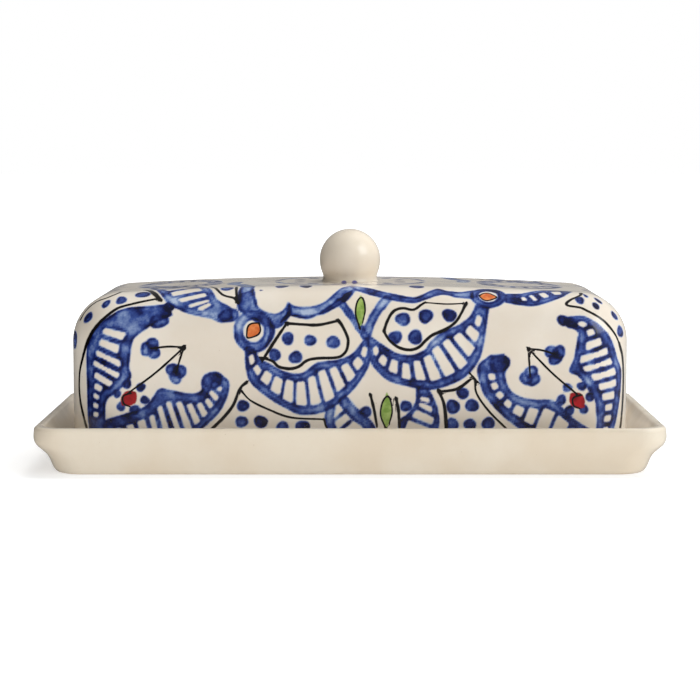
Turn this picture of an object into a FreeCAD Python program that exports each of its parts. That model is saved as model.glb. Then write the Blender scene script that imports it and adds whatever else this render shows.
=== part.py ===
import FreeCAD, Part
import math
import os

import Sketcher
from FreeCAD import Vector

# A covered butter dish in glazed stoneware, in millimetres.
# A long shallow tray stands on a flat foot and flares at both ends into a thick lip.
# A lid with fully rounded corners sits inside the tray, on its floor, and lifts straight off.
# A turned knob is fixed on the middle of the lid.
# Frame: +X along the dish, -Y towards the front, +Z up, origin at the middle of the foot's underside.

SHEET = "sizes"

SIZES = {
    # tray, outside, from the foot up: each level has a length, a depth and a corner radius
    "foot_length": 189.0,
    "foot_depth": 95.0,
    "foot_corner": 10.0,
    "wall_height": 3.0,
    "wall_length": 193.0,
    "wall_depth": 96.6,
    "wall_corner": 10.0,
    "waist_height": 5.9,
    "waist_length": 195.6,
    "waist_depth": 98.0,
    "waist_corner": 9.5,
    "flare_height": 7.9,
    "flare_length": 199.4,
    "flare_depth": 99.2,
    "flare_corner": 9.0,
    "lip_height": 10.0,
    "lip_length": 202.6,
    "lip_depth": 100.4,
    "lip_corner": 8.5,
    "band_height": 12.6,
    "band_length": 203.2,
    "band_depth": 101.2,
    "band_corner": 8.5,
    "rim_height": 15.2,
    "rim_length": 203.0,
    "rim_depth": 101.6,
    "rim_corner": 8.5,
    # tray, inside: the well narrows from its mouth at the rim down to the floor
    "floor_height": 5.1,
    "floor_length": 185.6,
    "floor_depth": 84.4,
    "floor_corner": 10.0,
    "mouth_length": 197.8,
    "mouth_depth": 96.2,
    "mouth_corner": 8.0,
    # rounding of the tray's edges
    "foot_round": 1.8,
    "rim_round": 1.2,
    "floor_round": 1.8,
    # lid, standing on the floor of the tray
    "lid_length": 182.0,
    "lid_depth": 78.0,
    "lid_height": 53.9,
    "lid_crown": 3.2,
    "lid_round": 16.0,
    "hollow_round": 11.4,
    "lid_wall": 4.6,
    "lid_edge_round": 1.2,
    # knob, with heights above the top of the lid
    "knob_radius": 10.25,
    "knob_centre": 7.3,
    "neck_radius": 9.1,
    "neck_centre": 1.5,
    "neck_hollow": 2.5,
    "root_sink": 0.6,
}

LID_TOP = f"{SHEET}.floor_height + {SHEET}.lid_height"
LEVEL_HEIGHTS = {"foot": "0", "mouth": f"{SHEET}.rim_height"}
LEVEL_GAP = 0.01  # an edge this close to a height lies at that height
LID_BASE_EDGES = 1.0  # edges that stay this close to the lid's base belong to the base

# numbers that stand for the points and the axes of a sketch
START, END, CENTRE = 1, 2, 3
X_AXIS, Y_AXIS = -1, -2


def new_document():
    document = FreeCAD.newDocument("butter_dish")
    sheet = document.addObject("Spreadsheet::Sheet", SHEET)
    for row, (name, value) in enumerate(SIZES.items(), start=1):
        sheet.set(f"A{row}", name)
        sheet.set(f"B{row}", str(value))
        sheet.setAlias(f"B{row}", name)
    document.recompute()
    return document


def new_body(document, label):
    body = document.addObject("PartDesign::Body", label)
    body.Label = label
    return body


def new_sketch(body, name, role):
    """A sketch on one of the body's own origin planes."""
    sketch = body.newObject("Sketcher::SketchObject", name)
    plane = next(feature for feature in body.Origin.OriginFeatures if feature.Role == role)
    sketch.AttachmentSupport = (plane, [""])
    sketch.MapMode = "FlatFace"
    return sketch


def relate(sketch, kind, *parts):
    """Add a geometric relation, such as Tangent or Equal."""
    sketch.addConstraint(Sketcher.Constraint(kind, *parts))


def dimension(sketch, kind, *parts, value, expression):
    """Add a dimension that the sheet drives; value only places it near its final size."""
    index = sketch.addConstraint(Sketcher.Constraint(kind, *parts, value))
    sketch.setExpression(f"Constraints[{index}]", expression)


def level_outline(body, level):
    """A rectangle with equal round corners about the origin, at the height of a level."""
    sketch = new_sketch(body, f"{level}_outline", "XY_Plane")
    height = LEVEL_HEIGHTS.get(level, f"{SHEET}.{level}_height")
    sketch.setExpression(".AttachmentOffset.Base.z", height)
    length = SIZES[f"{level}_length"]
    depth = SIZES[f"{level}_depth"]
    radius = SIZES[f"{level}_corner"]
    arcs = []
    for quarter, (right, back) in enumerate([(1, 1), (-1, 1), (-1, -1), (1, -1)]):
        centre = Vector(right * (length / 2 - radius), back * (depth / 2 - radius), 0)
        circle = Part.Circle(centre, Vector(0, 0, 1), radius)
        start = quarter * math.pi / 2
        arcs.append(sketch.addGeometry(Part.ArcOfCircle(circle, start, start + math.pi / 2)))
    sides = []
    for arc, following in zip(arcs, arcs[1:] + arcs[:1]):
        line = Part.LineSegment(sketch.Geometry[arc].EndPoint, sketch.Geometry[following].StartPoint)
        side = sketch.addGeometry(line)
        relate(sketch, "Tangent", arc, END, side, START)
        relate(sketch, "Tangent", side, END, following, START)
        sides.append(side)
    back, left, front, right = sides
    for side in (back, front):
        relate(sketch, "Horizontal", side)
    for side in (left, right):
        relate(sketch, "Vertical", side)
    for arc in arcs[1:]:
        relate(sketch, "Equal", arcs[0], arc)
    relate(sketch, "Symmetric", arcs[0], CENTRE, arcs[2], CENTRE, X_AXIS, START)
    dimension(sketch, "DistanceX", left, START, right, START,
              value=length, expression=f"{SHEET}.{level}_length")
    dimension(sketch, "DistanceY", front, START, back, START,
              value=depth, expression=f"{SHEET}.{level}_depth")
    dimension(sketch, "Radius", arcs[0], value=radius, expression=f"{SHEET}.{level}_corner")
    return sketch


def loft(body, kind, name, levels, ruled):
    """Loft through the outlines of some levels, from the first to the last."""
    outlines = [level_outline(body, level) for level in levels]
    feature = body.newObject(kind, name)
    feature.Profile = outlines[0]
    feature.Sections = outlines[1:]
    feature.Ruled = ruled
    body.Document.recompute()
    return feature


def level_at(height):
    """A test for the bounding box of an edge that lies level at a height."""
    return lambda box: max(abs(box.ZMin - height), abs(box.ZMax - height)) < LEVEL_GAP


def round_edges(body, name, wanted, radius):
    """Round every edge whose bounding box is wanted."""
    base = body.Tip
    edges = [f"Edge{number}" for number, edge in enumerate(base.Shape.Edges, start=1)
             if wanted(edge.BoundBox)]
    fillet = body.newObject("PartDesign::Fillet", name)
    fillet.Base = (base, edges)
    fillet.setExpression("Radius", f"{SHEET}.{radius}")
    body.Document.recompute()
    return fillet


def make_tray(document):
    """A loft from foot to rim, a lofted well, then rounded floor, rim and foot edges."""
    body = new_body(document, "tray")
    loft(body, "PartDesign::AdditiveLoft", "tray_outside",
         ["foot", "wall", "waist", "flare", "lip", "band", "rim"], ruled=False)
    loft(body, "PartDesign::SubtractiveLoft", "tray_well", ["floor", "mouth"], ruled=True)
    round_edges(body, "floor_edge", level_at(SIZES["floor_height"]), "floor_round")
    round_edges(body, "rim_edges", level_at(SIZES["rim_height"]), "rim_round")
    round_edges(body, "foot_edge", level_at(0.0), "foot_round")
    return body


def lid_outline(body, name, inset, inset_expression):
    """The lid from the front, drawn in by an inset: level base, upright ends and a crowned top."""
    sketch = new_sketch(body, name, "XZ_Plane")
    half = SIZES["lid_length"] / 2 - inset
    crown = SIZES["lid_crown"]
    floor = SIZES["floor_height"]
    side = SIZES["lid_height"] - crown - inset
    corners = [Vector(-half, floor, 0), Vector(half, floor, 0),
               Vector(half, floor + side, 0), Vector(-half, floor + side, 0)]
    middle = Vector(0, floor + side + crown, 0)
    base = sketch.addGeometry(Part.LineSegment(corners[0], corners[1]))
    right = sketch.addGeometry(Part.LineSegment(corners[1], corners[2]))
    top = sketch.addGeometry(Part.Arc(corners[2], middle, corners[3]))
    left = sketch.addGeometry(Part.LineSegment(corners[3], corners[0]))
    outline = [base, right, top, left]
    for line, following in zip(outline, outline[1:] + outline[:1]):
        relate(sketch, "Coincident", line, END, following, START)
    relate(sketch, "Vertical", right)
    relate(sketch, "Vertical", left)
    relate(sketch, "Equal", left, right)
    relate(sketch, "Symmetric", base, START, base, END, Y_AXIS)
    half_length = f"({SHEET}.lid_length / 2 - {inset_expression})"
    dimension(sketch, "DistanceX", base, START, base, END,
              value=2 * half, expression=f"2 * {half_length}")
    dimension(sketch, "DistanceY", X_AXIS, START, base, START,
              value=floor, expression=f"{SHEET}.floor_height")
    dimension(sketch, "DistanceY", right, START, right, END,
              value=side, expression=f"{SHEET}.lid_height - {SHEET}.lid_crown - {inset_expression}")
    dimension(sketch, "Radius", top, value=(half ** 2 + crown ** 2) / (2 * crown),
              expression=f"({half_length} ^ 2 + {SHEET}.lid_crown ^ 2) / (2 * {SHEET}.lid_crown)")
    return sketch


def make_lid_shell(document):
    """A block with a pocket open below, rounded outside and in on every edge above its base."""
    body = new_body(document, "lid_shell")
    block_outline = lid_outline(body, "block_outline", 0.0, "0")
    block = body.newObject("PartDesign::Pad", "lid_block")
    block.Profile = block_outline
    block.Midplane = True
    block.setExpression("Length", f"{SHEET}.lid_depth")
    document.recompute()
    wall = SIZES["lid_wall"]
    hollow_outline = lid_outline(body, "hollow_outline", wall, f"{SHEET}.lid_wall")
    hollow = body.newObject("PartDesign::Pocket", "lid_hollow")
    hollow.Profile = hollow_outline
    hollow.Midplane = True
    hollow.setExpression("Length", f"{SHEET}.lid_depth - 2 * {SHEET}.lid_wall")
    document.recompute()
    base = SIZES["floor_height"]
    mid_wall_x = (SIZES["lid_length"] - wall) / 2
    mid_wall_y = (SIZES["lid_depth"] - wall) / 2

    def above_base(box):
        return box.ZMax > base + LID_BASE_EDGES

    def in_hollow(box):
        reach_x = max(box.XMax, -box.XMin)
        reach_y = max(box.YMax, -box.YMin)
        return above_base(box) and reach_x < mid_wall_x and reach_y < mid_wall_y

    def outside(box):
        return above_base(box) and not in_hollow(box)

    round_edges(body, "hollow_corners", in_hollow, "hollow_round")
    round_edges(body, "lid_corners", outside, "lid_round")
    round_edges(body, "lid_edges", level_at(base), "lid_edge_round")
    return body


def knob_outline(body):
    """Half of the knob's section: a round crown, a swelling side and a hollow neck."""
    sketch = new_sketch(body, "knob_outline", "XZ_Plane")
    top = SIZES["floor_height"] + SIZES["lid_height"]
    radius = SIZES["knob_radius"]
    hollow = SIZES["neck_hollow"]
    equator = top + SIZES["knob_centre"]
    neck = Vector(SIZES["neck_radius"] + hollow, top + SIZES["neck_centre"], 0)
    root = top - SIZES["root_sink"]
    root_turn = math.pi + math.asin((neck.y - root) / hollow)
    up = Vector(0, 0, 1)
    crown = sketch.addGeometry(
        Part.ArcOfCircle(Part.Circle(Vector(0, equator, 0), up, radius), 0, math.pi / 2))
    side = sketch.addGeometry(
        Part.ArcOfCircle(Part.Circle(Vector(1, equator, 0), up, radius - 1), -math.pi / 8, 0))
    waist = sketch.addGeometry(
        Part.ArcOfCircle(Part.Circle(neck, up, hollow), math.pi * 7 / 8, root_turn))
    foot = sketch.addGeometry(
        Part.LineSegment(sketch.Geometry[waist].EndPoint, Vector(0, root, 0)))
    axis = sketch.addGeometry(Part.LineSegment(Vector(0, root, 0), Vector(0, equator + radius, 0)))
    relate(sketch, "Tangent", crown, START, side, END)
    relate(sketch, "Tangent", side, START, waist, START)
    relate(sketch, "Coincident", waist, END, foot, START)
    relate(sketch, "Coincident", foot, END, axis, START)
    relate(sketch, "Coincident", axis, END, crown, END)
    relate(sketch, "Horizontal", foot)
    relate(sketch, "PointOnObject", axis, START, Y_AXIS)
    relate(sketch, "PointOnObject", axis, END, Y_AXIS)
    relate(sketch, "PointOnObject", crown, CENTRE, Y_AXIS)
    relate(sketch, "Horizontal", crown, CENTRE, side, CENTRE)
    dimension(sketch, "Radius", crown, value=radius, expression=f"{SHEET}.knob_radius")
    dimension(sketch, "Radius", waist, value=hollow, expression=f"{SHEET}.neck_hollow")
    dimension(sketch, "DistanceY", X_AXIS, START, crown, CENTRE,
              value=equator, expression=f"{LID_TOP} + {SHEET}.knob_centre")
    dimension(sketch, "DistanceX", X_AXIS, START, waist, CENTRE,
              value=neck.x, expression=f"{SHEET}.neck_radius + {SHEET}.neck_hollow")
    dimension(sketch, "DistanceY", X_AXIS, START, waist, CENTRE,
              value=neck.y, expression=f"{LID_TOP} + {SHEET}.neck_centre")
    dimension(sketch, "DistanceY", X_AXIS, START, axis, START,
              value=root, expression=f"{LID_TOP} - {SHEET}.root_sink")
    return sketch


def make_lid_knob(document, lid_shell):
    """A turned knob whose root is cut to the crown of the lid, so that the two meet face to face."""
    blank = new_body(document, "knob_blank")
    outline = knob_outline(blank)
    turning = blank.newObject("PartDesign::Revolution", "knob_turning")
    turning.Profile = outline
    turning.ReferenceAxis = (outline, ["V_Axis"])
    turning.Angle = 360
    document.recompute()
    knob = document.addObject("Part::Cut", "lid_knob")
    knob.Label = "lid_knob"
    knob.Base = blank
    knob.Tool = lid_shell
    document.recompute()
    return knob


def check(document, pieces):
    """Stop unless every feature was computed and every piece is one valid solid."""
    for item in document.Objects:
        if "Invalid" in item.State or "Error" in item.State:
            raise RuntimeError(f"{item.Label} was not computed: {item.State}")
    for piece in pieces:
        shape = piece.Shape
        if shape.isNull() or not shape.isValid() or len(shape.Solids) != 1:
            raise RuntimeError(f"{piece.Label} is not one valid solid")


def main():
    document = new_document()
    tray = make_tray(document)
    lid_shell = make_lid_shell(document)
    lid_knob = make_lid_knob(document, lid_shell)
    pieces = [tray, lid_shell, lid_knob]
    check(document, pieces)
    os.makedirs("parts", exist_ok=True)
    for piece in pieces:
        box = piece.Shape.BoundBox
        print(f"{piece.Label}: {box.XLength:.2f} x {box.YLength:.2f} x {box.ZLength:.2f} mm, "
              f"from height {box.ZMin:.2f}, volume {piece.Shape.Volume / 1000:.1f} cm3")
        piece.Shape.exportStep(f"parts/{piece.Label}.step")


main()
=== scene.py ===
"""A covered butter dish: an ivory tray and a painted lid with a ball knob, built round the CAD frame.

Lengths on the dish are in millimetres, and those of the floor, the lights and the camera in metres.
A place on the lid is (s, t): s runs round the lid from the middle of one of its four sides, and t runs up
the wall, over the rounded edge and across the top.
"""

import math

import bpy
import numpy as np
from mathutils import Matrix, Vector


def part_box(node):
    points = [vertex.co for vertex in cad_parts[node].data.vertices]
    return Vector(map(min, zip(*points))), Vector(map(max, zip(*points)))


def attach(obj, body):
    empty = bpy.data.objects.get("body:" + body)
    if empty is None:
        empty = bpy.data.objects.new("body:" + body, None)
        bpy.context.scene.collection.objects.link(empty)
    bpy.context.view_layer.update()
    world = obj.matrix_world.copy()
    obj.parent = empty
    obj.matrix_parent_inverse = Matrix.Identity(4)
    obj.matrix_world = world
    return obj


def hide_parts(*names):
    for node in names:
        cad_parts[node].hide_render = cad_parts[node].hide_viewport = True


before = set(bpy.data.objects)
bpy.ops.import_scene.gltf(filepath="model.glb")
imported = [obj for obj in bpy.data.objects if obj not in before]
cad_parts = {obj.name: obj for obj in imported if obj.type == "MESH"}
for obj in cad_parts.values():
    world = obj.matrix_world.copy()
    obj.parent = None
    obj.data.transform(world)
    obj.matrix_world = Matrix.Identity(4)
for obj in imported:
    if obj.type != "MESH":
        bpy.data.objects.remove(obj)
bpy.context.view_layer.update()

MM = 0.001
lid_low, lid_high = (np.array(corner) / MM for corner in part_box("lid_shell"))

# ---------------------------------------- the lid's shape

HALF_LENGTH = lid_high[0]
HALF_WIDTH = lid_high[1]
BASE = lid_low[2]
TOP = lid_high[2]
ROUND = 16.0  # radius of the upright corners and of the rounded top edge
CROWN = 3.2  # how much the top falls from the middle to its ends
WALL = 4.6
EDGE = 1.2  # rounding of the lid's lower edges

SPAN = HALF_LENGTH - ROUND  # half the straight run of a long side
REACH = HALF_WIDTH - ROUND  # half the straight run of an end
QUARTER = ROUND * math.pi / 2
PERIMETER = 4 * (SPAN + REACH + QUARTER)

FAR = 4.0  # the distance to a painted shape is kept this far round it
DROP = 0.45  # the painting sits this much lower than the heights it is drawn at


def wall_height(x):
    """Height of the lid's upright wall above its base, up to where the rounded edge starts."""
    return TOP - BASE - ROUND - CROWN * (x / HALF_LENGTH) ** 2


def around(s):
    """Centre of the corner rounding and outward direction, s mm round the lid from its front's middle."""
    s = (np.asarray(s, float) + PERIMETER / 2) % PERIMETER - PERIMETER / 2
    knots = np.cumsum([0, SPAN, QUARTER, 2 * REACH, QUARTER, SPAN])
    distance = np.abs(s)
    core_x = np.sign(s) * np.interp(distance, knots, [0, SPAN, SPAN, SPAN, SPAN, 0])
    core_y = np.interp(distance, knots, [-REACH, -REACH, -REACH, REACH, REACH, REACH])
    turn = np.interp(distance, knots, [0, 0, math.pi / 2, math.pi / 2, math.pi, math.pi])
    return core_x, core_y, np.sign(s) * np.sin(turn), -np.cos(turn)


def lid_point(s, t, depth=0.0):
    """Point of the lid at (s, t) from the middle of its front, depth mm inside the outer surface."""
    core_x, core_y, out_x, out_y = around(s)
    straight = wall_height(core_x)
    tilt = np.clip((t - straight) / ROUND, 0, math.pi / 2)
    level = np.maximum(t - straight - QUARTER, 0)
    outward = (ROUND - depth) * np.cos(tilt) - level
    x = core_x + outward * out_x
    y = core_y + outward * out_y
    wall_z = BASE + np.minimum(t, straight) + (ROUND - depth) * np.sin(tilt)
    top_z = BASE + wall_height(x) + ROUND - depth
    return np.stack([x, y, np.where(level > 0, top_z, wall_z)], axis=-1)


# ---------------------------------------- the lid's mesh

STEPS = {"side": 252, "corner": 40, "end": 64}  # columns of vertices along each stretch
COARSE = 4  # the inside has a column for every fourth one outside


def column_positions():
    """Distances of the mesh's columns round the lid, from the front's left corner, and its runs' kinds."""
    runs = [("side", 2 * SPAN), ("corner", QUARTER), ("end", 2 * REACH), ("corner", QUARTER)] * 2
    positions = []
    start = -SPAN
    for kind, length in runs:
        positions.extend(start + length * np.arange(STEPS[kind]) / STEPS[kind])
        start += length
    return np.array(positions), [kind for kind, _ in runs]


class LidMesh:
    """Collects the lid's vertices, ring by ring, with the (s, t) place and the depth of each."""

    def __init__(self):
        self.columns, self.runs = column_positions()
        self.points = []
        self.places = []
        self.faces = []

    def add(self, s, t, depth):
        """Adds a vertex at each place and returns their numbers."""
        s, t, depth = np.broadcast_arrays(s, t, depth)
        first = len(self.points)
        self.points.extend(lid_point(s, t, depth))
        self.places.extend(np.stack([s, t, depth], axis=-1))
        return list(range(first, len(self.points)))

    def ring(self, depth, up=None, fraction=None, tilt=None, coarse=False):
        """A ring of vertices: at a height, at a fraction of the wall, or at an angle round the top edge."""
        s = self.columns[::COARSE] if coarse else self.columns
        straight = wall_height(around(s)[0])
        if tilt is not None:
            up = straight + ROUND * tilt
        elif fraction is not None:
            up = EDGE + (straight - EDGE) * fraction
        return self.add(s, up, depth)

    def top_ring(self, depth, coarse=False):
        """The ring where the flat top starts. Each corner there is a single vertex."""
        step = COARSE if coarse else 1
        s = self.columns[::step]
        up = wall_height(around(s)[0]) + QUARTER
        numbers = []
        first = 0
        for kind in self.runs:
            last = first + STEPS[kind] // step
            if kind == "corner":
                corner = self.add(s[first:first + 1], up[first:first + 1], depth)
                numbers.extend(corner * (last - first))
            else:
                numbers.append(None)
                numbers.extend(self.add(s[first + 1:last], up[first + 1:last], depth))
            first = last
        # a straight run starts at the vertex of the corner before it
        return [numbers[k - 1] if number is None else number for k, number in enumerate(numbers)]

    def join(self, lower, upper):
        """Faces between two rings with the same number of columns."""
        count = len(lower)
        for a in range(count):
            b = (a + 1) % count
            # a triangle where the columns of a corner meet in one vertex
            self.faces.append(list(dict.fromkeys([lower[a], lower[b], upper[b], upper[a]])))

    def join_coarse(self, fine, coarse):
        """Faces between the outer ring of the base and the coarser inner one."""
        count = len(coarse)
        for a in range(count):
            b = (a + 1) % count
            run = [fine[(a * COARSE + k) % len(fine)] for k in range(COARSE + 1)]
            self.faces.append([coarse[a], coarse[b], *reversed(run)])

    def cap(self, ring, depth, coarse=False, flip=False):
        """Fills the flat top inside a ring with a grid."""
        step = COARSE if coarse else 1
        wide, deep, bend = (STEPS[kind] // step for kind in ("side", "end", "corner"))
        starts = np.cumsum([0, wide, bend, deep, bend, wide, bend, deep])
        grid = np.full((wide + 1, deep + 1), -1)
        for i in range(wide):
            grid[i, 0] = ring[starts[0] + i]
            grid[wide - i, deep] = ring[starts[4] + i]
        for j in range(deep):
            grid[wide, j] = ring[starts[2] + j]
            grid[0, deep - j] = ring[starts[6] + j]
        for i in range(1, wide):
            x = SPAN * (2 * i / wide - 1)
            inward = 2 * REACH * np.arange(1, deep) / deep
            grid[i, 1:deep] = self.add(np.full(deep - 1, x), wall_height(x) + QUARTER + inward, depth)
        for i in range(wide):
            for j in range(deep):
                face = [grid[i, j], grid[i + 1, j], grid[i + 1, j + 1], grid[i, j + 1]]
                self.faces.append(face[::-1] if flip else face)


def build_lid():
    """The lid's closed mesh: outside, rounded lower edges and hollow inside."""
    lid = LidMesh()
    quarter_turn = np.linspace(0, math.pi / 2, 4)[:-1]
    lower_edge = list(zip(EDGE * (1 - np.cos(quarter_turn)), EDGE * (1 - np.sin(quarter_turn))))

    outside = [lid.ring(inset, up=rise) for rise, inset in lower_edge]
    hidden = 0.2  # the share of the wall that stands behind the tray's rim, with fewer rings
    for fraction in [*np.linspace(0, hidden, 8), *np.linspace(hidden, 1, 48)[1:]]:
        outside.append(lid.ring(0.0, fraction=fraction))
    outside += [lid.ring(0.0, tilt=tilt) for tilt in np.linspace(0, math.pi / 2, 41)[1:-1]]
    outside.append(lid.top_ring(0.0))
    for lower, upper in zip(outside, outside[1:]):
        lid.join(lower, upper)
    lid.cap(outside[-1], 0.0)

    inside = [lid.ring(WALL - inset, up=rise, coarse=True) for rise, inset in lower_edge]
    inside += [lid.ring(WALL, fraction=fraction, coarse=True) for fraction in np.linspace(0, 1, 6)]
    inside += [lid.ring(WALL, tilt=tilt, coarse=True) for tilt in np.linspace(0, math.pi / 2, 9)[1:-1]]
    inside.append(lid.top_ring(WALL, coarse=True))
    lid.join_coarse(outside[0], inside[0])
    for lower, upper in zip(inside, inside[1:]):
        lid.join(upper, lower)
    lid.cap(inside[-1], WALL, coarse=True, flip=True)
    return lid


# ---------------------------------------- brushwork


def smooth(points):
    """Points along a Catmull-Rom curve through the given ones."""
    steps = 7
    points = np.array(points, float)
    padded = np.vstack([2 * points[0] - points[1], points, 2 * points[-1] - points[-2]])
    curve = []
    u = np.arange(steps)[:, None] / steps
    for before, here, there, after in zip(padded, padded[1:], padded[2:], padded[3:]):
        bend = 2 * before - 5 * here + 4 * there - after
        twist = 3 * here - before - 3 * there + after
        curve.append(here + 0.5 * (u * (there - before) + u**2 * bend + u**3 * twist))
    curve.append(points[-1:])
    return np.vstack(curve)


def along(path, fractions):
    """Points at the given fractions of a path's length."""
    steps = np.linalg.norm(np.diff(path, axis=0), axis=1)
    run = np.concatenate([[0], np.cumsum(steps)]) / steps.sum()
    return np.stack([np.interp(fractions, run, path[:, axis]) for axis in range(2)], axis=-1)


def shortened(start, stop, inset):
    """Both ends of a straight line after an inset from each, which meet at its middle if it is too short."""
    length = np.linalg.norm(stop - start)
    share = min(inset / max(length, 1e-6), 0.5)
    return np.array([start + (stop - start) * share, stop + (start - stop) * share])


def path_distance(points, path):
    """Each point's distance to a path in space, and the nearest spot's share of it (0 to 1) and segment."""
    steps = np.diff(path, axis=0)
    lengths = np.maximum(np.linalg.norm(steps, axis=1), 1e-9)
    starts = np.concatenate([[0], np.cumsum(lengths)])
    best = np.full(len(points), np.inf)
    where = np.zeros(len(points))
    segment = np.zeros(len(points), int)
    for number, (start, step, length) in enumerate(zip(path, steps, lengths)):
        share = np.clip(((points - start) @ step) / length**2, 0, 1)
        distance = np.linalg.norm(points - start - share[:, None] * step, axis=1)
        nearer = distance < best
        best[nearer] = distance[nearer]
        where[nearer] = (starts[number] + share[nearer] * length) / starts[-1]
        segment[nearer] = number
    return best, where, segment


def is_inside(places, outline):
    """Which places are inside a closed outline."""
    inside = np.zeros(len(places), bool)
    for (s0, t0), (s1, t1) in zip(outline, np.roll(outline, -1, axis=0)):
        if t0 == t1:
            continue
        crosses = (t0 > places[:, 1]) != (t1 > places[:, 1])
        crossing = s0 + (places[:, 1] - t0) * (s1 - s0) / (t1 - t0)
        inside ^= crosses & (places[:, 0] < crossing)
    return inside


VERTICES_PER_BLOT = 90
RIM_PIGMENT = 0.32  # extra pigment that gathers just inside the edge of a shape
RIM_INSET = 0.45
RIM_WIDTH = 0.5
EDGE_FADE = 0.6  # width over which the pigment fades out at an edge


class Painter:
    """Brushes colours on to the lid's vertices. Each is kept as a distance to its edge, negative inside."""

    COLOURS = ("cobalt", "ink", "berry", "amber", "leaf")

    def __init__(self, points, places, seed):
        self.points = points
        self.random = np.random.default_rng(seed)
        self.side = 0  # the side being painted: 0 to 3 for the front, right, back and left
        self.distance = {name: np.full(len(points), FAR) for name in self.COLOURS}
        self.pigment = np.zeros(len(points))
        self.across = np.full(len(points), FAR)  # signed place across an ink line, in half widths
        outside = places[:, 2] < EDGE
        self.charts = []  # every vertex's (s, t) from the middle of each side
        for side in range(4):
            s = (places[:, 0] - side * PERIMETER / 4 + PERIMETER / 2) % PERIMETER - PERIMETER / 2
            chart = np.stack([s, places[:, 1] + DROP], axis=-1)
            chart[~outside] = 1e6  # out of every outline, so the inside stays bare
            self.charts.append(chart)
        # on the flat top, t goes straight on across it from a side's edge
        on_top = outside & (points[:, 2] > BASE + wall_height(points[:, 0]) + ROUND - 1e-3)
        x, y = points[on_top, 0], points[on_top, 1]
        long_edge = wall_height(x) + QUARTER + DROP
        end_edge = wall_height(SPAN) + QUARTER + DROP
        self.charts[0][on_top] = np.stack([x, long_edge + REACH + y], axis=-1)
        self.charts[1][on_top] = np.stack([y, end_edge + SPAN - x], axis=-1)
        self.charts[2][on_top] = np.stack([-x, long_edge + REACH - y], axis=-1)
        self.charts[3][on_top] = np.stack([-y, end_edge + SPAN + x], axis=-1)

    def lift(self, path):
        """The points in space of a path that is drawn on the side being painted."""
        path = np.asarray(path, float)
        return lid_point(path[:, 0] + self.side * PERIMETER / 4, path[:, 1] - DROP)

    def nearby(self, path, margin):
        """Numbers of the vertices in the box round a path in space."""
        low, high = path.min(axis=0) - margin, path.max(axis=0) + margin
        return np.flatnonzero(((self.points >= low) & (self.points <= high)).all(axis=1))

    def lay(self, colour, near, distance, tone):
        """Adds a painted shape: its distances at some vertices, and how dark its pigment is."""
        field = self.distance[colour]
        field[near] = np.minimum(field[near], distance)
        if colour == "cobalt":
            inside = np.clip(0.5 - distance / EDGE_FADE, 0, 1)
            pooled = RIM_PIGMENT * np.exp(-(((distance + RIM_INSET) / RIM_WIDTH) ** 2))
            added = inside * np.clip(tone + pooled + self.blots(near, distance), 0.05, 0.95)
            self.pigment[near] = 1 - (1 - self.pigment[near]) * (1 - added)

    def blots(self, near, distance):
        """Soft darker and lighter pools left by a wet brush inside a shape."""
        inside = near[distance < 0]
        pools = np.zeros(len(near))
        for spot in self.random.choice(inside, len(inside) // VERTICES_PER_BLOT) if len(inside) else ():
            size = self.random.uniform(1.2, 3.4)
            gap = np.linalg.norm(self.points[near] - self.points[spot], axis=1)
            pools += self.random.uniform(-0.2, 0.3) * np.exp(-((gap / size) ** 2))
        return pools

    def area(self, outline, colour="cobalt", tone=0.45, holes=()):
        """A filled outline, with holes left bare."""
        edge = self.lift(np.vstack([outline, outline[:1]]))
        near = self.nearby(edge, FAR)
        distance = self.outline_distance(near, outline)
        for hole, rounding in holes:
            bare = self.outline_distance(near, hole) - rounding
            distance = np.maximum(distance, -bare)
        if colour == "ink":
            self.across[near[distance < 0]] = 0
        self.lay(colour, near, distance, tone)

    def outline_distance(self, near, outline):
        """Distance of vertices to a closed outline, negative inside it."""
        edge = self.lift(np.vstack([outline, outline[:1]]))
        distance, _, _ = path_distance(self.points[near], edge)
        return np.where(is_inside(self.charts[self.side][near], outline), -distance, distance)

    def stroke(self, points, width, colour="cobalt", tone=0.4, taper=0.0, blob=0.0):
        """A brush line through the points. It thins by taper at its ends, and starts with a blob."""
        path = smooth(points) if len(points) > 2 else along(np.array(points, float), np.linspace(0, 1, 6))
        line = self.lift(path)
        near = self.nearby(line, FAR)
        distance, where, segment = path_distance(self.points[near], line)
        knots = np.linspace(0, 1, 9)
        swell = 1 + np.interp(where, knots, self.random.uniform(-0.12, 0.12, len(knots)))
        swell *= 1 - taper * np.abs(2 * where - 1) ** 3
        swell += blob * np.exp(-((where / 0.05) ** 2))
        if colour == "ink":
            nearest = distance - width / 2 * swell < self.distance["ink"][near]
            step = np.diff(path, axis=0)[segment]
            offset = self.charts[self.side][near] - path[segment]
            turn = np.sign(step[:, 0] * offset[:, 1] - step[:, 1] * offset[:, 0])
            self.across[near[nearest]] = (turn * distance / (width / 2 * swell))[nearest]
        self.lay(colour, near, distance - width / 2 * swell, tone)

    def ink(self, points, width=1.05, blob=0.5):
        """A thin black outline."""
        self.stroke(points, width, "ink", taper=0.25, blob=blob)

    def blot(self, s, t, radius, colour="cobalt", tone=0.5, stretch=(1, 1)):
        """A dab of the brush: a wobbly round dot."""
        angle = np.linspace(0, 2 * math.pi, 20, endpoint=False)
        phase = self.random.uniform(0, 6.28, 2)
        reach = radius * (1 + 0.06 * np.sin(2 * angle + phase[0]) + 0.05 * np.sin(3 * angle + phase[1]))
        ring = [s + stretch[0] * reach * np.cos(angle), t + stretch[1] * reach * np.sin(angle)]
        self.area(np.stack(ring, axis=-1), colour, tone)

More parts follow.
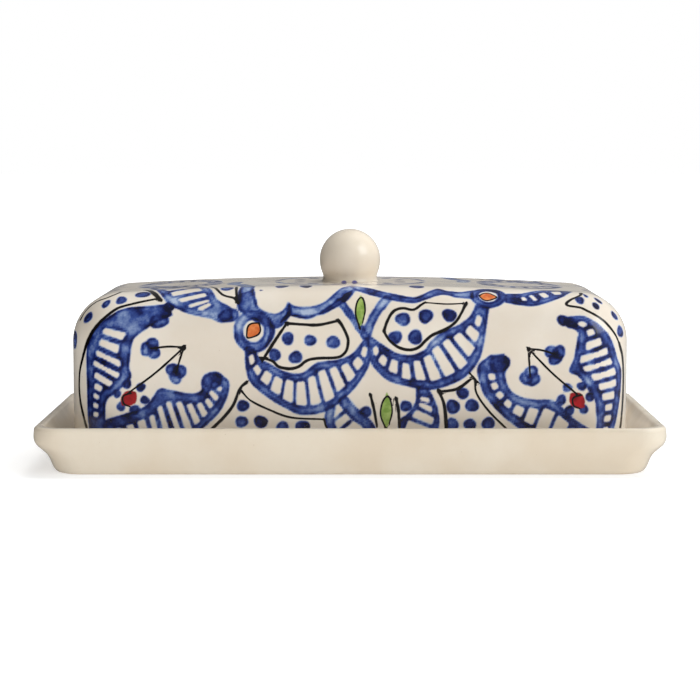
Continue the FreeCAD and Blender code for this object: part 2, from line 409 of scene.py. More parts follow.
    def dots(self, places, radius, tone=0.5):
        """A group of dabs that vary a little, each darker in its middle."""
        for s, t in places:
            size = radius * self.random.uniform(0.9, 1.1)
            self.blot(s, t, size, tone=tone + self.random.uniform(-0.06, 0.1))
            self.pool((s, t), 0.5 * size, 0.22)

    def crescent(self, outer, inner, windows, rims, span, tone, rib=1.4, swell=0.0):
        """A crescent between two curves, with a ladder of bare windows from one to the other.

        The rims are the blue widths left along the inner and the outer curve, and span is the share of the
        length that has windows. The ribs between them widen by the share swell from first to last.
        """
        outer, inner = smooth(outer), smooth(inner)
        soft = 0.6  # rounding of the windows' corners
        thinnest = 4.5  # a stretch thinner than this has no window
        slit = 0.06  # half the least depth of a window, as a share of the thickness
        shares = np.linspace(*span, windows + 1)
        stations = along(outer, shares)
        # each station faces the nearest spot of the inner curve, evened out along the length
        fine = np.linspace(0, 1, 200)
        gaps = np.linalg.norm(along(inner, fine) - stations[:, None], axis=2)
        drift = np.polyfit(shares, fine[gaps.argmin(axis=1)], 2)
        facing = along(inner, np.polyval(drift, shares))
        holes = []
        for k in range(windows):
            inset = rib * (1 + swell * k / windows) * self.random.uniform(0.8, 1.2) / 2 + soft
            near_side = shortened(facing[k], facing[k + 1], inset)
            far_side = shortened(stations[k], stations[k + 1], inset)
            thickness = np.linalg.norm(near_side - far_side, axis=1).mean()
            first = min((rims[0] * self.random.uniform(0.85, 1.15) + soft) / thickness, 0.5 - slit)
            last = max(1 - (rims[1] * self.random.uniform(0.85, 1.15) + soft) / thickness, 0.5 + slit)
            if thickness > thinnest:
                cut = [near_side + (far_side - near_side) * share for share in (first, last)]
                holes.append((np.vstack([cut[0], cut[1][::-1]]), soft))
            across = (stations[k] - facing[k]) / max(np.linalg.norm(stations[k] - facing[k]), 1e-6)
            for place in (facing[k] + across * rims[0], stations[k] - across * rims[1]):
                self.pool(place, 1.0, self.random.uniform(0.0, 0.4))
        self.area(np.vstack([outer, inner[::-1]]), tone=tone, holes=holes)

    def pool(self, place, size, amount):
        """A soft spot of more pigment, as where two brush strokes meet."""
        spot = self.lift([place])
        near = self.nearby(spot, 3 * size)
        gap = np.linalg.norm(self.points[near] - spot, axis=1)
        self.pigment[near] = 1 - (1 - self.pigment[near]) * (1 - amount * np.exp(-((gap / size) ** 2)))

    def pointed(self, tip, end, width, colour):
        """A leaf or seed from one point to another."""
        tip, end = np.array(tip, float), np.array(end, float)
        share = np.linspace(0, 1, 9)[:, None]
        across = np.array([-(end - tip)[1], (end - tip)[0]]) / np.linalg.norm(end - tip)
        bulge = width / 2 * np.sin(math.pi * share**0.85)
        middle = tip + (end - tip) * share
        outline = np.vstack([middle + across * bulge, (middle - across * bulge)[-2:0:-1]])
        self.area(outline, colour)
        return np.vstack([outline, outline[:1]])

    def green_leaf(self, tip, end, width):
        """A green leaf with a loose black outline."""
        outline = self.pointed(tip, end, width, "leaf")
        self.ink(outline[::3], 0.6, blob=0.8)

    def ring(self, s, t, size, hole, seed_tip, seed_end):
        """A blue ring round a bare eye with an orange seed in it."""
        angle = np.linspace(0, 2 * math.pi, 24, endpoint=False)
        circle = np.stack([np.cos(angle), np.sin(angle)], axis=-1)
        middle = np.array([s, t])
        self.area(middle + circle * size, tone=0.34, holes=[(middle + circle * hole, 0.0)])
        outline = self.pointed(seed_tip, seed_end, 4.3, "amber")
        self.ink(outline[::2], 0.6, blob=0.4)

    def trefoil(self, s, t, size, turn):
        """A three-lobed leaf."""
        for lobe in range(3):
            angle = turn + lobe * 2 * math.pi / 3
            place = (s + 0.42 * size * math.cos(angle), t + 0.42 * size * math.sin(angle))
            self.blot(*place, 0.68 * size, tone=0.42)

    def bud(self, s, t, fork, leaves, lean):
        """A red bud in a ring of dots, with a forked stem that carries two trefoils."""
        heart = np.array([s, t])
        towards = (np.array(fork) - heart) / np.linalg.norm(np.array(fork) - heart)
        middle = heart + 1.2 * towards
        for step in range(6):
            angle = lean + step * math.pi / 3
            self.dots([middle + (4.6 * math.cos(angle), 4.3 * math.sin(angle))], 1.55)
        self.blot(s, t, 2.3, "berry")
        self.pointed(heart + 3.6 * towards, heart - 3.1 * towards, 5.0, "berry")
        self.ink([(s + 1, t + 2), (s - 1.6, t + 1), (s - 1.4, t - 1.4), (s + 0.6, t - 2.4)], 0.6)
        self.ink([fork, ((s + fork[0]) / 2, (t + fork[1]) / 2 + 0.3), (s, t + 2)], 0.75, blob=0.7)
        self.blot(*fork, 0.75, "ink")
        for leaf_s, leaf_t, turn in leaves:
            self.trefoil(leaf_s, leaf_t, 3.3, turn)
            bend = ((leaf_s + fork[0]) / 2, (leaf_t + fork[1]) / 2 + 0.4)
            self.ink([fork, bend, (leaf_s, leaf_t)], 0.7)


# ---------------------------------------- the painted pattern


def on_top(x, y):
    """Place on the top, x mm along the lid and y mm towards the back of it, as the front's (s, t)."""
    return (x, wall_height(x) + QUARTER + REACH + y)


def paint_left(brush):
    """Left third of a long side: dotted corner band, two ladder crescents and a bud."""
    brush.ink([
        (-83, 1), (-86.5, 9), (-90, 18.5), (-90, 26), (-88, 31.5), (-85, 38), (-81.5, 43.5), (-76, 48.5),
        (-70, 51), (-63.5, 53),
    ], 1.3)
    brush.ink([(-61.5, 52.5), (-67.5, 64)], 1.9, blob=0.2)
    brush.ink([(-93, 44), (-92.5, 48.5), (-90, 52), (-84, 55), (-73, 63.5)], 0.9)
    brush.dots([(-67.5, 56.5), (-74.5, 53), (-82, 51), (-88, 45)], 2.3, tone=0.55)
    brush.blot(-94.5, 37, 3.0)
    outer = [
        (-83, 1), (-85.5, 10), (-86, 22), (-86, 34.5), (-83.5, 41), (-78, 46), (-72.5, 49), (-66, 49.8),
        (-59, 50.5),
    ]
    inner = [
        (-77.5, 1), (-79, 8), (-79, 12.5), (-78.5, 18), (-75, 21), (-70.5, 25.5), (-71, 29),
        (-70.5, 33.5), (-69.5, 38), (-66, 41), (-62, 43.5), (-57, 46),
    ]
    brush.crescent(outer, inner, 9, rims=(3.6, 3.8), span=(0.17, 0.64), tone=0.52, rib=1.3, swell=0.6)
    brush.blot(-58.5, 49.3, 1.9, tone=0.85)
    brush.blot(-61.5, 44, 2.6, tone=0.5, stretch=(1.2, 1))
    brush.bud(-71.5, 18.6, (-53.3, 35.5), [(-64, 35, 1.2), (-56, 27.2, 0.4)], 0.8)
    outer = [
        (-80, 7), (-70, 2.5), (-60, 3), (-52, 5.5), (-46.5, 10), (-42, 14.5), (-39.5, 19.5), (-38.8, 24),
        (-41, 26.5),
    ]
    inner = [
        (-79, 12), (-68, 15.5), (-64.5, 18), (-61.5, 22), (-57, 21.5), (-51.5, 20.5), (-48, 21.5),
        (-47.8, 25), (-45, 27.4),
    ]
    brush.crescent(outer, inner, 12, rims=(4.3, 2.6), span=(0.12, 0.9), tone=0.44, rib=1.6)
    brush.blot(-44.3, 24.8, 2.9, tone=0.5, stretch=(1.2, 1))


def paint_right(brush):
    """Right third of a long side, the same motifs drawn the other way round."""
    brush.ink([(78, 58.5), (70, 51), (75, 49), (82, 45), (86.5, 40), (89, 36)])
    brush.ink([(89, 36), (91.3, 31.5), (92.3, 25), (91.9, 16.5), (90.4, 8.5), (88.4, 1)], 1.7, blob=0.0)
    brush.dots([(75, 53), (82.5, 50), (90.5, 45.5), (90.5, 40), (80.5, 56), (87, 52.5)], 1.9, tone=0.55)
    outer = [
        (82, 1), (87, 9), (90, 19.5), (90.5, 27), (88, 31.5), (86, 36), (83.5, 40), (80, 43.5), (75, 46),
        (69, 45.5),
    ]
    inner = [
        (78, 1), (79.5, 9.5), (79.5, 13.5), (79, 18), (76.5, 22), (73.5, 26), (70.5, 27.7), (72, 32),
        (73, 38), (73, 40.5), (68.5, 43),
    ]
    brush.crescent(outer, inner, 12, rims=(3.4, 3.2), span=(0.05, 0.86), tone=0.46, rib=1.6)
    brush.blot(68.5, 44.3, 1.9, tone=0.6)
    brush.blot(71.3, 43.2, 1.9, tone=0.9)
    brush.bud(73.5, 18, (57.3, 35), [(66, 33.2, 0.5), (58, 26, 1.4)], 0.1)
    outer = [(45, 33), (41, 29), (42.5, 21.5), (45.5, 17), (50, 12.5), (54.5, 9), (60, 5), (68, 2), (76, 1)]
    inner = [
        (49.5, 33.4), (51.5, 30), (50, 27), (51.3, 22.2), (55, 19.5), (60, 18.5), (66, 18), (72, 12.5),
        (79, 8),
    ]
    brush.crescent(outer, inner, 9, rims=(2.9, 3.2), span=(0.12, 0.92), tone=0.42, rib=1.3)
    brush.blot(48, 30.2, 3.0, tone=0.5, stretch=(1.15, 1))


def paint_middle(brush):
    """Middle of a long side: two large ladder crescents, dotted shields, eyes, leaves and scallops."""
    outer = [
        (-34, 36), (-33.5, 28.5), (-32, 24), (-27, 19.5), (-20.5, 15.5), (-15, 13.5), (-7, 15), (0, 20.5),
        (4, 25.5), (6.5, 31), (6, 38),
    ]
    inner = [
        (-31, 35.5), (-29, 32), (-25.5, 30), (-20.5, 27.5), (-15.5, 27.2), (-10.5, 30.5), (-4, 31.5),
        (1, 33.7), (5, 39),
    ]
    brush.crescent(outer, inner, 12, rims=(2.6, 2.8), span=(0.05, 0.95), tone=0.4, rib=1.15)
    outer = [
        (5.5, 38), (6.3, 31.5), (8.5, 28), (12.5, 24.5), (18.5, 22.8), (25, 21.6), (31, 22.8), (37, 25.7),
        (41, 30.3), (42.8, 35), (44, 43), (45, 49),
    ]
    inner = [
        (6, 39.5), (8.5, 37.8), (12.5, 35), (15.5, 33.5), (20, 33), (24, 34.7), (25.5, 37), (29.7, 40.7),
        (35, 42.8), (38.7, 45.8), (40.5, 50),
    ]
    brush.crescent(outer, inner, 11, rims=(2.6, 2.8), span=(0.05, 0.93), tone=0.42, rib=1.4)

    paint_scallops(brush)
    brush.stroke([(-3.5, 51.5), (0.5, 45.5), (5, 39)], 2.6, tone=0.34)
    brush.stroke([(12, 52.5), (8, 46), (5, 39.5)], 3.1, tone=0.24)
    brush.green_leaf((3.2, 41.6), (3.5, 54.6), 3.1)
    brush.ring(-31, 40.7, (6.5, 7.2), (3.3, 3.6), (-29.2, 43.3), (-33, 38.5))
    brush.ring(44.8, 54.2, (6, 5.6), (3.1, 3), (41.8, 54.3), (47.6, 53.6))

    brush.ink([(-20.3, 43.2), (-24.5, 37), (-28.3, 31)])
    brush.ink([(-20.3, 43.2), (-15, 42.8), (-10, 42.7), (-3.7, 44.1)])
    brush.ink([
        (-3.7, 44.1), (-2.5, 42.4), (-0.9, 39), (-0.6, 36.9), (-1.4, 34), (-4, 32.2), (-10.3, 31.9),
        (-13.8, 31.2), (-16.5, 29.2), (-19.5, 28.5), (-23, 29.2), (-25, 31), (-29, 32.2),
    ])
    brush.dots([(-20, 38.3), (-12.8, 37.7), (-5.4, 37.1), (-24.2, 33), (-17.5, 32.2)], 2.1, tone=0.45)
    brush.ink([
        (10.9, 40.6), (12.1, 44.2), (14.1, 47.4), (17, 48.5), (20.4, 47.9), (22.8, 49.7), (24.3, 51),
    ])
    brush.ink([(24.3, 50.8), (31.3, 50.2), (37.5, 50.6)], 0.65)
    brush.ink([
        (37.5, 50.6), (36, 47), (34, 43.7), (30.8, 41.3), (26.5, 39.4), (24.2, 37.5), (22, 35.4),
        (19, 34.6), (15.5, 35.5), (12.6, 37.8), (10.9, 40.6),
    ])
    brush.dots([(17, 44.6), (24.4, 45.7), (32, 46), (14.5, 38.6), (21, 38.7)], 2.25, tone=0.45)


def paint_scallops(brush):
    """Scalloped band along the rounded edge, which turns up on to the top at both ends."""
    left_upper = [(-31.5, 58), (-31, 53), (-29, 48.5), (-24.5, 46.5), (-21.5, 48), (-20, 51.2)]
    left_lower = [(-36.5, 55), (-36, 48), (-31, 44), (-25, 41.5), (-21.5, 42.5), (-18.5, 47)]
    middle_upper = [(-20, 51.2), (-18, 49.5), (-14.5, 49), (-10, 50), (-6.5, 53), (-2.5, 59.5), (0.7, 62.2)]
    middle_lower = [
        (-20, 46), (-17, 45.2), (-13.5, 44.5), (-10.5, 45.8), (-8, 46.5), (-3.5, 49.5), (-0.5, 52),
        (2.5, 58),
    ]
    right_upper = [
        (0, 62), (5.5, 59.5), (10.5, 56.5), (18.5, 53.6), (22, 53.6), (26.5, 57.5), (28.7, 59),
        (31.5, 57.3), (36, 56.6), (40, 58),
    ]
    right_lower = [
        (1, 57.5), (5, 55), (9.5, 53), (14, 51.5), (20.5, 50.5), (24.5, 52), (30, 54.6), (34.5, 53.2),
        (40, 52.5),
    ]
    for upper, lower, tone in [
        (left_upper, left_lower, 0.2),
        (middle_upper, middle_lower, 0.27),
        (right_upper, right_lower, 0.4),
    ]:
        brush.area(np.vstack([smooth(upper), smooth(lower)[::-1]]), tone=tone)
    brush.stroke([
        (-34, 49), (-34, 56), (-33.5, 63), (-36, 72), on_top(-39, -8), on_top(-38, 0),
    ], 4.2, tone=0.24)
    for accent, width in [
        ([(-10, 46.3), (-5.5, 49.2), (-2, 52.6), (1, 57.5)], 2.1),
        ([(-19.5, 46), (-14, 45.2), (-10.5, 46.4)], 1.0),
        ([(-22.3, 43.5), (-20, 46.2), (-19.6, 50)], 1.4),
        ([(-35.4, 50), (-35.8, 56), (-35.4, 62)], 1.1),
        ([(-30, 49), (-31.2, 54), (-31.8, 60)], 1.1),
        ([(-26, 45), (-24.9, 40.5), (-26.8, 36)], 1.8),
    ]:
        brush.stroke(accent, width, tone=0.6, taper=0.7)
    brush.blot(-29, 57.6, 0.5, tone=0.7)
    brush.dots([(-22.3, 62), (-14.4, 61.8), (21.8, 61.6)], 2.3, tone=0.6)


def paint_wings(brush):
    """Ladder crescents that cross the rounded edge, left and right of the scallops."""
    outer = [
        (-66, 74), (-66, 68), (-64, 62), (-59.5, 51.5), (-55, 48), (-51, 46.2), (-45, 44.8), (-41, 43.3),
        (-37.3, 45),
    ]
    inner = [(-63, 75), (-56, 73), (-48.5, 67), (-44, 55), (-42.5, 52), (-38.5, 49)]
    brush.crescent(outer, inner, 6, rims=(3.0, 3.2), span=(0.2, 0.74), tone=0.4, rib=2.2)
    brush.blot(-39, 46, 2.6, tone=0.4, stretch=(1.3, 1))
    brush.ink([(-46, 67), (-42, 55.8), (-37.6, 53), (-36.3, 50.5)], 1.1)
    brush.ink([(-36.4, 51), (-37, 57), (-37.2, 64)], 1.0)
    brush.dots([(-40.2, 60)], 2.2)
    outer = [(50, 51), (54.5, 50), (59, 49.6), (63.5, 51), (69, 54.5), (73, 60)]
    inner = [(50.5, 56), (55.7, 56.3), (61, 59.5), (66, 61.5), (72, 62)]
    brush.crescent(outer, inner, 4, rims=(2.4, 2.4), span=(0.2, 0.8), tone=0.45, rib=2.2)


def paint_foot(brush):
    """Along the bottom of a long side: dotted panels, a small ladder, a crescent and a leaf."""
    brush.ink([(-33.2, 24.2), (-35.5, 22), (-37.5, 17), (-40.5, 13), (-45, 8.5), (-52, 1)], 1.0)
    brush.ink([(-35.2, 21.6), (-32, 18.2), (-26, 15.2), (-19, 12.7), (-8.4, 12.1)], 0.75)
    brush.ink([(-8.4, 12.1), (-7.3, 8.9), (-3, 1.5)], 0.75)
    rows = [
        (16.5, [-34.5]), (11.3, [-35, -28.8]), (9.6, [-21.8, -15.3]), (4.5, [-38, -31.5, -25, -18, -11]),
    ]
    for t, places in rows:
        brush.dots([(s, t) for s in places], 2.15, tone=0.62)

    brush.stroke([(-6.3, 15.5), (-6.5, 11), (-3, 4), (0, 1)], 3.2, tone=0.45)
    brush.stroke([(-2, 18), (1.2, 14.2), (6, 9.8), (9, 3)], 3.6, tone=0.4)
    for s, t in [(-3, 13.5), (-1.5, 10), (1, 6.5)]:
        brush.stroke([(s - 2, t - 1.6), (s + 1.6, t + 1.4)], 1.2, tone=0.4)
    outer = [(24, 24), (26.5, 20), (28.2, 16), (28.8, 11), (27.5, 5), (23, 1)]
    inner = [(21.3, 22), (21, 17.6), (18.4, 13.8), (16, 12), (15.6, 8), (16.5, 1)]
    brush.crescent(outer, inner, 5, rims=(1.6, 2.0), span=(0.2, 0.9), tone=0.42)
    brush.green_leaf((11.6, 9), (11.9, 21), 3.8)
    brush.ink([(6.6, 20), (7.8, 15), (8.7, 9.8)])
    brush.ink([(14.9, 18.8), (15.6, 15), (16, 9)], 1.1)
    brush.dots([(5.2, 14.6), (18, 16.4)], 2.0)

    brush.ink([(28.6, 21.4), (30.4, 16.5), (31, 9), (30.5, 1)], 1.2)
    brush.ink([(28.6, 21), (34.5, 22), (39, 25.2)])
    brush.ink([(40.3, 25), (40.8, 20.5), (45, 14.5), (51, 8.5), (58, 1)], 0.75)
    brush.ink([(38.6, 27), (41.5, 23.8)], 0.7)
    brush.dots([
        (36.3, 20.6), (33.2, 16.2), (39.3, 16.6), (33, 10.4), (38.7, 10.5), (44.6, 10.8),
    ], 2.15, tone=0.64)
    brush.dots([(34, 4.4), (40.5, 4.6), (47, 4.4)], 2.15, tone=0.64)


def paint_top(brush):
    """One long half of the top, between the knob and the rounded edge."""
    ring = [on_top(17.5 * math.cos(a), 17.5 * math.sin(a)) for a in np.radians(range(-165, 0, 30))]
    brush.dots(ring, 1.8, tone=0.6)
    arc = [on_top(25 * math.cos(a), 21 * math.sin(a)) for a in np.radians(np.linspace(-172, -8, 9))]
    brush.stroke(arc, 1.6, tone=0.3)
    outer = [on_top(-72, -2), on_top(-66, -13), on_top(-54, -16), on_top(-45, -8), on_top(-43, -1)]
    inner = [on_top(-66, -1.5), on_top(-62, -6), on_top(-55, -7), on_top(-50, -4), on_top(-48, -1)]
    brush.crescent(outer, inner, 7, rims=(2.2, 2.2), span=(0.1, 0.9), tone=0.42)
    outer = [on_top(43, -1), on_top(46, -12), on_top(56, -19), on_top(67, -14), on_top(72, -2)]
    inner = [on_top(48, -1), on_top(50, -8), on_top(56, -10), on_top(62, -7), on_top(66, -1.5)]
    brush.crescent(outer, inner, 7, rims=(2.2, 2.2), span=(0.1, 0.9), tone=0.42)
    for x in (-2.2, 1.7):
        brush.blot(*on_top(x, -13), 1.2, tone=0.8, stretch=(1, 2.5))


def both_halves(half):
    """Places from the left to the middle of a side, and on to the right as their mirror image."""
    return half + [(-s, t) for s, t in half[-2::-1]]


def paint_end(brush):
    """An end of the lid: a ladder arch over a bud with trefoils, above a dotted panel."""
    outer = both_halves([(-24, 15), (-23.5, 27), (-19, 38), (-10, 45.5), (0, 48)])
    inner = both_halves([(-18.5, 15), (-17.5, 25), (-13.5, 32), (-7, 36.5), (0, 38)])
    brush.crescent(outer, inner, 19, rims=(2.2, 2.4), span=(0.04, 0.96), tone=0.46)
    brush.bud(-7, 21, (9.5, 33.5), [(-1.5, 33.2, 1.2), (8, 24.5, 0.4)], 0.4)
    brush.ink([(-26, 50), (-16, 49), (-8, 52.5), (0, 50.5)])
    brush.ink([(0, 50.5), (8, 52.5), (16, 49), (26, 50)])
    brush.dots(both_halves([(-20, 54.5), (-11, 57), (0, 55.5)]), 1.9, tone=0.6)
    brush.ink(both_halves([(-26, 1), (-21, 10), (-13, 12.5), (0, 12)]))
    brush.dots(both_halves([(-14, 8), (-7, 7.5), (0, 8)]), 2.0, tone=0.72)
    brush.dots([(-17, 3), (-10.5, 2.8), (-3.5, 3), (3.5, 3), (10.5, 2.8), (17, 3)], 1.7, tone=0.72)


def paint_lid(points, places):
    """Paints the whole lid and returns the painter, which holds the colours."""
    brush = Painter(points, places, seed=11)
    for side in (0, 2):
        brush.side = side
        paint_left(brush)
        paint_right(brush)
        paint_foot(brush)
        paint_middle(brush)
        paint_wings(brush)
        paint_top(brush)
    for side in (1, 3):
        brush.side = side
        paint_end(brush)
    return brush


# ---------------------------------------- materials


def tint(red, green, blue):
    """A display colour, 0 to 255, as a linear one."""
    channels = [c / 255 for c in (red, green, blue)]
    return (*[c / 12.92 if c <= 0.04045 else ((c + 0.055) / 1.055) ** 2.4 for c in channels], 1.0)


class Shader:
    """A material and short ways to add nodes to it."""

    def __init__(self, name):
        self.material = bpy.data.materials.new(name)
        self.material.use_nodes = True
        self.tree = self.material.node_tree
        self.surface = self.tree.nodes["Principled BSDF"]
        coordinates = self.tree.nodes.new("ShaderNodeTexCoord")
        self.place = coordinates.outputs["Object"]

    def node(self, kind, **settings):
        """A new node with some of its properties set."""
        made = self.tree.nodes.new(kind)
        for key, value in settings.items():
            setattr(made, key, value)
        return made

    def plug(self, socket, value):
        """Links another node's output to a socket, or sets the socket to a plain value."""
        if isinstance(value, bpy.types.NodeSocket):
            self.tree.links.new(value, socket)
        else:
            socket.default_value = value

    def math(self, operation, first, second=0.0):
        """Arithmetic on one or two values."""
        made = self.node("ShaderNodeMath", operation=operation)
        self.plug(made.inputs[0], first)
        self.plug(made.inputs[1], second)
        return made.outputs[0]

    def noise(self, size, detail):
        """Noise from 0 to 1 whose blotches are about size mm across."""
        made = self.node("ShaderNodeTexNoise")
        self.plug(made.inputs["Vector"], self.place)
        made.inputs["Scale"].default_value = 1 / (size * MM)
        made.inputs["Detail"].default_value = detail
        made.inputs["Roughness"].default_value = 0.55
        return made.outputs["Fac"]

    def ripple(self, size, detail, amount):
        """Noise about 0 whose whole swing is amount."""
        return self.math("MULTIPLY", self.math("SUBTRACT", self.noise(size, detail), 0.5), amount)

    def spread(self, value, low, high, to_low=0.0, to_high=1.0):
        """Maps low..high smoothly to to_low..to_high."""
        made = self.node("ShaderNodeMapRange", interpolation_type="SMOOTHSTEP")
        self.plug(made.inputs["Value"], value)
        made.inputs["From Min"].default_value = low
        made.inputs["From Max"].default_value = high
        made.inputs["To Min"].default_value = to_low
        made.inputs["To Max"].default_value = to_high
        return made.outputs["Result"]

    def mix(self, factor, first, second):
        """The first colour where the factor is 0, and the second where it is 1."""
        made = self.node("ShaderNodeMix", data_type="RGBA")
        self.plug(made.inputs["Factor"], factor)
        self.plug(made.inputs["A"], first)
        self.plug(made.inputs["B"], second)
        return made.outputs["Result"]

    def attribute(self, name):
        """One of the numbers that the mesh carries at each vertex."""
        return self.node("ShaderNodeAttribute", attribute_name=name).outputs["Fac"]

    def bump(self, height, strength, distance_mm):
        """Makes the surface look uneven, by distance_mm where the height is 1."""
        made = self.node("ShaderNodeBump")
        made.inputs["Strength"].default_value = strength
        made.inputs["Distance"].default_value = distance_mm * MM
        self.plug(made.inputs["Height"], height)
        self.plug(self.surface.inputs["Normal"], made.outputs["Normal"])


CLAY = tint(205, 184, 152)
DARK_CLAY = tint(184, 160, 126)
MOTTLE = tint(214, 196, 168)
SPECK = tint(150, 112, 74)
INK = tint(10, 7, 8)
THIN_BLUE = tint(96, 92, 156)
# blue from a thin wash to a thick pool, and the pale and the deep tone of each other colour
COBALT = [(168, 182, 206), (108, 129, 175), (50, 73, 141), (13, 29, 91), (3, 8, 42)]
DABS = {
    "leaf": ((156, 178, 96), (118, 148, 62)),
    "amber": ((222, 132, 70), (196, 92, 40)),
    "berry": ((172, 20, 28), (122, 10, 18)),
}


def glaze(shader, ivory, shade, clay_below):
    """The ivory glaze: returns its colour, and sets the gloss and the faint unevenness of the surface.

    Below the height clay_below, in mm, the piece is wiped bare and shows rough clay.
    """
    cloud = shader.noise(26, 2)
    colour = shader.mix(shader.spread(cloud, 0.35, 0.65), ivory, shade)
    mottle = shader.spread(shader.noise(2.2, 4), 0.3, 0.75, 0.0, 0.08)
    colour = shader.mix(mottle, colour, MOTTLE)
    speck = shader.spread(shader.noise(0.8, 1), 0.79, 0.84, 0.0, 0.45)
    colour = shader.mix(speck, colour, SPECK)

    split = shader.node("ShaderNodeSeparateXYZ")
    shader.plug(split.inputs[0], shader.place)
    height = shader.math("ADD", split.outputs["Z"], shader.ripple(3.0, 2, 0.6 * MM))
    bare = shader.spread(height, clay_below * MM, (clay_below - 0.25) * MM)
    grain = shader.noise(0.5, 4)
    colour = shader.mix(bare, colour, shader.mix(grain, CLAY, DARK_CLAY))

    smear = shader.spread(shader.noise(9, 3), 0.3, 0.7, 0.13, 0.2)
    rough = shader.math("ADD", smear, shader.math("MULTIPLY", bare, 0.55))
    shader.plug(shader.surface.inputs["Roughness"], rough)
    shader.surface.inputs["IOR"].default_value = 1.5
    shader.surface.inputs["Coat Weight"].default_value = 0.3
    shader.surface.inputs["Coat Roughness"].default_value = 0.12
    waves = shader.noise(14, 1.5)
    orange_peel = shader.math("MULTIPLY", shader.noise(1.6, 2), 0.05)
    gritty = shader.math("MULTIPLY", shader.math("MULTIPLY", grain, bare), 0.25)
    shader.bump(shader.math("ADD", shader.math("ADD", waves, orange_peel), gritty), 0.35, 0.35)
    return colour


def plain_glaze(name, ivory, shade, clay_below=-1.0, dabs=()):
    """Material of a piece with no decoration, or only a few small blue dabs."""
    shader = Shader(name)
    colour = glaze(shader, ivory, shade, clay_below)
    for dab in dabs:
        gap = shader.node("ShaderNodeVectorMath", operation="DISTANCE")
        shader.plug(gap.inputs[0], shader.place)
        gap.inputs[1].default_value = [coordinate * MM for coordinate in dab]
        covered = shader.spread(gap.outputs["Value"], 1.3 * MM, 0.8 * MM)
        colour = shader.mix(covered, colour, THIN_BLUE)
    shader.plug(shader.surface.inputs["Base Color"], colour)
    return shader.material


def painted_glaze(name, clay_below):
    """Material of the lid: the ivory glaze with the brushwork under it."""
    shader = Shader(name)
    colour = glaze(shader, tint(226, 217, 204), tint(220, 209, 194), clay_below)
    waver = shader.ripple(1.5, 3, 0.5)
    fine = shader.ripple(0.5, 2, 0.3)

    def cover(paint, soft, bleed=0.0):
        """How much of a colour covers the glaze. Its ragged edge is bleed mm outside the drawn one."""
        edge = shader.math("ADD", shader.attribute(paint), shader.math("ADD", waver, fine))
        return shader.spread(edge, bleed + soft, bleed - soft)

    def ink_cover():
        """How much of the glaze the ink covers: between both edges of a line, and not past its ends."""
        across = shader.math("SUBTRACT", shader.math("ABSOLUTE", shader.attribute("across")), 1.0)
        ragged = shader.math("MULTIPLY", waver, 0.35)
        edge = shader.math("ADD", shader.math("MULTIPLY", across, 0.45), ragged)
        past_end = shader.math("SUBTRACT", shader.attribute("ink"), 0.22)
        return shader.spread(shader.math("MAXIMUM", edge, past_end), 0.14, -0.14)

    uneven = shader.math("ADD", shader.ripple(5.0, 3.5, 1.7), shader.ripple(0.7, 2, 0.2))
    pigment = shader.math("ADD", shader.attribute("pigment"), uneven)
    washes = shader.node("ShaderNodeValToRGB")
    ramp = washes.color_ramp
    while len(ramp.elements) < len(COBALT):
        ramp.elements.new(0.5)
    for step, (element, shade) in enumerate(zip(ramp.elements, COBALT)):
        element.position = step / (len(COBALT) - 1)
        element.color = tint(*shade)
    shader.plug(washes.inputs["Fac"], pigment)
    colour = shader.mix(cover("cobalt", 0.35, bleed=0.14), colour, washes.outputs["Color"])
    washed = shader.spread(shader.noise(2.0, 4), 0.3, 0.7)
    for paint, (pale, deep) in DABS.items():
        colour = shader.mix(cover(paint, 0.25), colour, shader.mix(washed, tint(*pale), tint(*deep)))
    colour = shader.mix(ink_cover(), colour, INK)
    shader.plug(shader.surface.inputs["Base Color"], colour)
    return shader.material


# ---------------------------------------- the pieces


def make_lid():
    """The painted lid, which stands for the plain CAD one."""
    made = build_lid()
    points = np.array(made.points)
    mesh = bpy.data.meshes.new("painted_lid")
    mesh.from_pydata(points * MM, [], made.faces)
    mesh.update()
    mesh.shade_smooth()
    brush = paint_lid(points, np.array(made.places))
    fields = {**brush.distance, "pigment": brush.pigment, "across": np.clip(brush.across, -FAR, FAR)}
    for name, values in fields.items():
        layer = mesh.attributes.new(name, "FLOAT", "POINT")
        layer.data.foreach_set("value", values.astype(np.float32))
    lid = bpy.data.objects.new("painted_lid", mesh)
    bpy.context.scene.collection.objects.link(lid)
    mesh.materials.append(painted_glaze("painted_glaze", clay_below=BASE + 0.5))
    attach(lid, "lid")
    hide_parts("lid_shell")


def dress(node, material):
    """Gives a CAD node a new material."""
    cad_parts[node].data.materials.clear()
    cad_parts[node].data.materials.append(material)


make_lid()
knob_dabs = [(-2.1, -9.7, TOP - 0.2), (1.6, -9.7, TOP - 0.2)]  # two, where the knob's foot meets the lid
dress("tray", plain_glaze("tray_glaze", tint(226, 215, 197), tint(221, 207, 186), clay_below=0.35))
dress("lid_knob", plain_glaze("knob_glaze", tint(229, 218, 202), tint(224, 211, 192), dabs=knob_dabs))

# ---------------------------------------- floor, light and camera


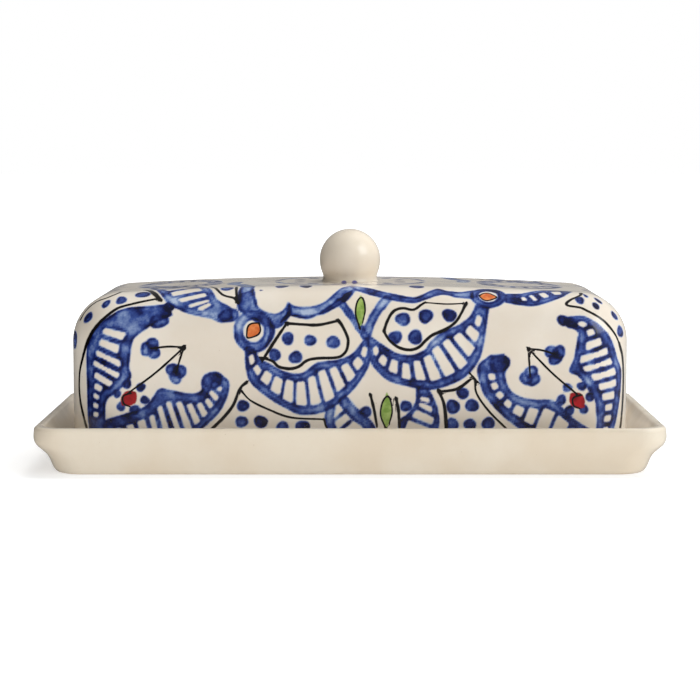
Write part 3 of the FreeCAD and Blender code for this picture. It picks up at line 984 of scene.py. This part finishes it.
def make_floor():
    """A plain white floor that reaches the horizon, and glows towards it like a lit backdrop."""
    half = 6.0
    mesh = bpy.data.meshes.new("floor")
    corners = [(-half, -half, 0), (half, -half, 0), (half, half, 0), (-half, half, 0)]
    mesh.from_pydata(corners, [], [(0, 1, 2, 3)])
    floor = bpy.data.objects.new("floor", mesh)
    bpy.context.scene.collection.objects.link(floor)
    shader = Shader("floor")
    paper = shader.mix(shader.noise(40, 2), tint(204, 204, 204), tint(200, 200, 200))
    shader.plug(shader.surface.inputs["Base Color"], paper)
    shader.surface.inputs["Roughness"].default_value = 0.9
    shader.surface.inputs["Specular IOR Level"].default_value = 0.1
    distance = shader.node("ShaderNodeVectorMath", operation="LENGTH")
    shader.plug(distance.inputs[0], shader.place)
    shader.surface.inputs["Emission Color"].default_value = (1, 1, 1, 1)
    far_glow = shader.spread(distance.outputs["Value"], 0.1, 0.5, 0.53, 1.0)
    shader.plug(shader.surface.inputs["Emission Strength"], far_glow)
    mesh.materials.append(shader.material)
    floor.visible_glossy = False


def make_world():
    """Studio surroundings: white to the camera, and for light and reflections brighter at the right."""
    brightest = 0.44
    world = bpy.data.worlds.new("studio")
    bpy.context.scene.world = world
    world.use_nodes = True
    nodes, links = world.node_tree.nodes, world.node_tree.links
    background = nodes["Background"]
    direction = nodes.new("ShaderNodeTexCoord")
    split = nodes.new("ShaderNodeSeparateXYZ")
    links.new(direction.outputs["Generated"], split.inputs[0])
    strength = nodes.new("ShaderNodeMapRange")
    strength.inputs["From Min"].default_value = -1.0
    strength.inputs["From Max"].default_value = 1.0
    strength.inputs["To Max"].default_value = brightest
    links.new(split.outputs["X"], strength.inputs["Value"])
    path = nodes.new("ShaderNodeLightPath")
    seen = nodes.new("ShaderNodeMix")
    links.new(path.outputs["Is Camera Ray"], seen.inputs["Factor"])
    links.new(strength.outputs["Result"], seen.inputs["A"])
    seen.inputs["B"].default_value = 1.0
    links.new(seen.outputs["Result"], background.inputs["Strength"])
    background.inputs["Color"].default_value = (1, 1, 1, 1)


COOL = (0.92, 0.97, 1.0)  # colour of the light from the right
WARM = (1.0, 0.98, 0.94)  # colour of the light from the front


def make_light(name, azimuth, elevation, distance, size, power, colour=(1, 1, 1), mirrored=True):
    """A square soft box aimed at the dish. Azimuth 0 is in front, and 90 at the right.

    The glaze shows a highlight of it only if it is mirrored.
    """
    data = bpy.data.lights.new(name, "AREA")
    data.size = size
    data.energy = power
    data.color = colour
    light = bpy.data.objects.new(name, data)
    a, e = math.radians(azimuth), math.radians(elevation)
    away = Vector((math.sin(a) * math.cos(e), -math.cos(a) * math.cos(e), math.sin(e)))
    light.location = Vector((0, 0, 0.03)) + away * distance
    light.rotation_mode = "QUATERNION"
    light.rotation_quaternion = away.to_track_quat("Z", "Y")
    light.visible_glossy = mirrored
    bpy.context.scene.collection.objects.link(light)


def make_camera():
    """The main view: straight on, a little above the dish and looking slightly down."""
    distance = 0.7058
    height = 0.1059
    pitch = 5.71  # degrees down
    data = bpy.data.cameras.new("camera")
    data.sensor_width = 36.0
    data.lens = 107.2
    camera = bpy.data.objects.new("camera", data)
    camera.location = (0, -distance, height)
    camera.rotation_euler = (math.radians(90 - pitch), 0, 0)
    bpy.context.scene.collection.objects.link(camera)
    bpy.context.scene.camera = camera


make_floor()
make_world()
make_light("key", azimuth=58, elevation=34, distance=1.3, size=0.7, power=4.6, colour=COOL)
make_light("fill", azimuth=6, elevation=27, distance=1.4, size=1.0, power=6.2, colour=WARM, mirrored=False)
make_light("side", azimuth=98, elevation=30, distance=1.3, size=0.8, power=3.1, colour=COOL, mirrored=False)
make_light("overhead", azimuth=150, elevation=62, distance=1.4, size=0.9, power=17, mirrored=False)
make_camera()
bpy.context.scene.view_settings.view_transform = "Standard"
